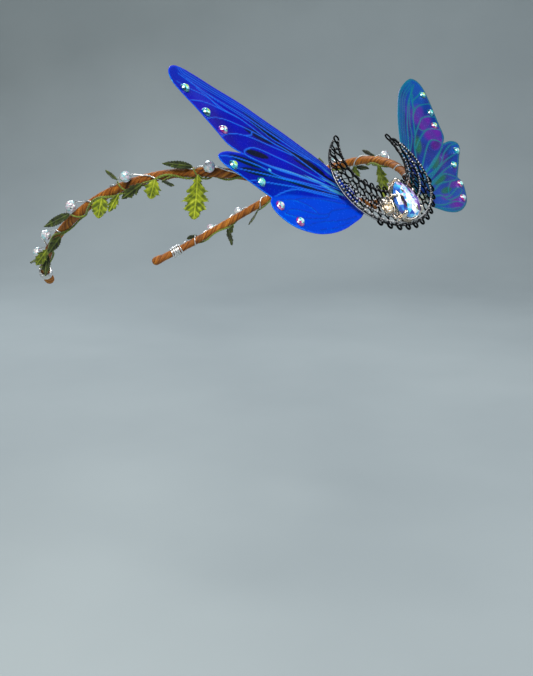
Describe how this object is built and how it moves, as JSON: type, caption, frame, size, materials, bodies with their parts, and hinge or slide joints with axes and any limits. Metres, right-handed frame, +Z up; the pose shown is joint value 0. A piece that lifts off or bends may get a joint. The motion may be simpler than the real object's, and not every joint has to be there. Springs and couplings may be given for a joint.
{
  "type": "fairy wing circlet",
  "caption": "Open vine headband with a filigree crescent, a pear crystal, a pair of flexing film wings, threaded beads and fabric leaves.",
  "frame": {"origin": "middle of the headband's opening, level with its sides, where the wearer's head sits", "axes": "+Z up as worn, the wearer faces -Y, the wearer's left is +X"},
  "size_m": [0.2094, 0.1964, 0.1044],
  "materials": {
    "bark_paper": "twisted kraft paper wound to look like bark",
    "core_wire": "plain steel wire",
    "gunmetal": "blackened gunmetal plating on stamped brass",
    "setting_metal": "polished pale champagne plating",
    "pear_crystal": "cut crystal with a violet and aqua coating",
    "champagne_crystal": "cut crystal with a foil back",
    "silver_wire": "silver-coloured craft wire",
    "glue": "clear jewellery glue",
    "stone_crystal": "flat-back crystal with a rainbow coating",
    "bead_crystal": "faceted clear bead with a rainbow coating",
    "leaf_stem": "green cord",
    "film_blue": "printed iridescent film",
    "film_teal": "printed iridescent film",
    "leaf_dark": "woven leaf, dark olive",
    "leaf_green": "woven leaf, yellow green"
  },
  "bodies": {
    "front": {"vine_front_wrap": "bark_paper", "vine_front_core": "core_wire", "crescent_filigree": "gunmetal", "gem_setting": "setting_metal", "pear_gem": "pear_crystal", "side_setting": "setting_metal", "side_stone": "champagne_crystal", "lashing_right": "silver_wire", "lashing_left": "silver_wire", "wing_right_root": "film_blue", "wing_left_root": "film_teal", "wing_right_glue": "glue", "wing_left_glue": "glue"},
    "wing_right": {"wing_right_film": "film_blue", "wing_right_stone_1": "stone_crystal", "wing_right_stone_2": "stone_crystal", "wing_right_stone_3": "stone_crystal", "wing_right_stone_4": "stone_crystal", "wing_right_stone_5": "stone_crystal", "wing_right_stone_6": "stone_crystal", "wing_right_stone_7": "stone_crystal"},
    "arm_right": {"vine_right_wrap": "bark_paper", "vine_right_core": "core_wire", "bead_wire_right": "silver_wire", "garland_stem_right": "leaf_stem", "end_binding_right": "silver_wire", "right_leaves_front": "leaf_dark", "right_leaves_middle": "leaf_green", "right_leaves_end": "leaf_dark"},
    "right_bead_1": {"right_bead_1": "bead_crystal"},
    "right_bead_2": {"right_bead_2": "bead_crystal"},
    "right_bead_3": {"right_bead_3": "bead_crystal"},
    "right_bead_4": {"right_bead_4": "bead_crystal"},
    "right_bead_5": {"right_bead_5": "bead_crystal"},
    "right_leaf_oak": {"right_leaf_oak": "leaf_green"},
    "right_leaf_round": {"right_leaf_round": "leaf_green"},
    "wing_left": {"wing_left_film": "film_teal", "wing_left_stone_1": "stone_crystal", "wing_left_stone_2": "stone_crystal", "wing_left_stone_3": "stone_crystal", "wing_left_stone_4": "stone_crystal", "wing_left_stone_5": "stone_crystal", "wing_left_stone_6": "stone_crystal", "wing_left_stone_7": "stone_crystal"},
    "arm_left": {"vine_left_wrap": "bark_paper", "vine_left_core": "core_wire", "bead_wire_left": "silver_wire", "garland_stem_left": "leaf_stem", "end_binding_left": "silver_wire", "left_leaves_front": "leaf_dark", "left_leaves_middle": "leaf_green", "left_leaves_end": "leaf_dark"},
    "left_bead_1": {"left_bead_1": "bead_crystal"},
    "left_bead_2": {"left_bead_2": "bead_crystal"},
    "left_bead_3": {"left_bead_3": "bead_crystal"},
    "left_bead_4": {"left_bead_4": "bead_crystal"},
    "left_bead_5": {"left_bead_5": "bead_crystal"},
    "left_leaf_oak": {"left_leaf_oak": "leaf_green"},
    "left_leaf_round": {"left_leaf_round": "leaf_green"}
  },
  "joints": [
    {"name": "wing_right_flex", "type": "hinge", "parent": "front", "child": "wing_right", "pos_m": [-0.04237, -0.08936, 0.00365], "axis": [0.0056, 0.6113, 0.7913], "range_deg": [-20, 25], "stiffness_Nm_per_rad": 0.03},
    {"name": "arm_right_spread", "type": "hinge", "parent": "front", "child": "arm_right", "pos_m": [-0.02397, -0.09228, -0.00318], "axis": [0, 0, 1], "range_deg": [-3, 8], "stiffness_Nm_per_rad": 0.15},
    {"name": "right_bead_1_spin", "type": "hinge", "parent": "arm_right", "child": "right_bead_1", "pos_m": [-0.07445, -0.05077, 0.01276], "axis": [-0.446, 0.8945, 0.03], "continuous": true},
    {"name": "right_bead_2_spin", "type": "hinge", "parent": "arm_right", "child": "right_bead_2", "pos_m": [-0.08515, -0.01337, 0.00785], "axis": [-0.1161, 0.9482, -0.2956], "continuous": true},
    {"name": "right_bead_3_spin", "type": "hinge", "parent": "arm_right", "child": "right_bead_3", "pos_m": [-0.08326, 0.0223, -0.00658], "axis": [0.1568, 0.8683, -0.4707], "continuous": true},
    {"name": "right_bead_4_spin", "type": "hinge", "parent": "arm_right", "child": "right_bead_4", "pos_m": [-0.076, 0.04745, -0.02211], "axis": [0.3483, 0.7874, -0.5086], "continuous": true},
    {"name": "right_bead_5_spin", "type": "hinge", "parent": "arm_right", "child": "right_bead_5", "pos_m": [-0.06832, 0.062, -0.03212], "axis": [0.4743, 0.7274, -0.496], "continuous": true},
    {"name": "right_leaf_oak_swing", "type": "hinge", "parent": "arm_right", "child": "right_leaf_oak", "pos_m": [-0.07584, -0.04577, 0.00919], "axis": [-0.4031, 0.9151, -0.0146], "range_deg": [-20, 35]},
    {"name": "right_leaf_round_swing", "type": "hinge", "parent": "arm_right", "child": "right_leaf_round", "pos_m": [-0.08517, 0.0008, -0.00193], "axis": [0.0109, 0.9196, -0.3927], "range_deg": [-20, 35]},
    {"name": "wing_left_flex", "type": "hinge", "parent": "front", "child": "wing_left", "pos_m": [0.04237, -0.08936, 0.00365], "axis": [0.0056, -0.6113, -0.7913], "range_deg": [-20, 25], "stiffness_Nm_per_rad": 0.03},
    {"name": "arm_left_spread", "type": "hinge", "parent": "front", "child": "arm_left", "pos_m": [0.02397, -0.09228, -0.00318], "axis": [0, 0, -1], "range_deg": [-3, 8], "stiffness_Nm_per_rad": 0.15},
    {"name": "left_bead_1_spin", "type": "hinge", "parent": "arm_left", "child": "left_bead_1", "pos_m": [0.07445, -0.05077, 0.01276], "axis": [0.446, 0.8945, 0.03], "continuous": true},
    {"name": "left_bead_2_spin", "type": "hinge", "parent": "arm_left", "child": "left_bead_2", "pos_m": [0.08515, -0.01337, 0.00785], "axis": [0.1161, 0.9482, -0.2956], "continuous": true},
    {"name": "left_bead_3_spin", "type": "hinge", "parent": "arm_left", "child": "left_bead_3", "pos_m": [0.08326, 0.0223, -0.00658], "axis": [-0.1568, 0.8683, -0.4707], "continuous": true},
    {"name": "left_bead_4_spin", "type": "hinge", "parent": "arm_left", "child": "left_bead_4", "pos_m": [0.076, 0.04745, -0.02211], "axis": [-0.3483, 0.7874, -0.5086], "continuous": true},
    {"name": "left_bead_5_spin", "type": "hinge", "parent": "arm_left", "child": "left_bead_5", "pos_m": [0.06832, 0.062, -0.03212], "axis": [-0.4743, 0.7274, -0.496], "continuous": true},
    {"name": "left_leaf_oak_swing", "type": "hinge", "parent": "arm_left", "child": "left_leaf_oak", "pos_m": [0.07584, -0.04577, 0.00919], "axis": [-0.4031, -0.9151, 0.0146], "range_deg": [-20, 35]},
    {"name": "left_leaf_round_swing", "type": "hinge", "parent": "arm_left", "child": "left_leaf_round", "pos_m": [0.08517, 0.0008, -0.00193], "axis": [0.0109, -0.9196, 0.3927], "range_deg": [-20, 35]}
  ]
}
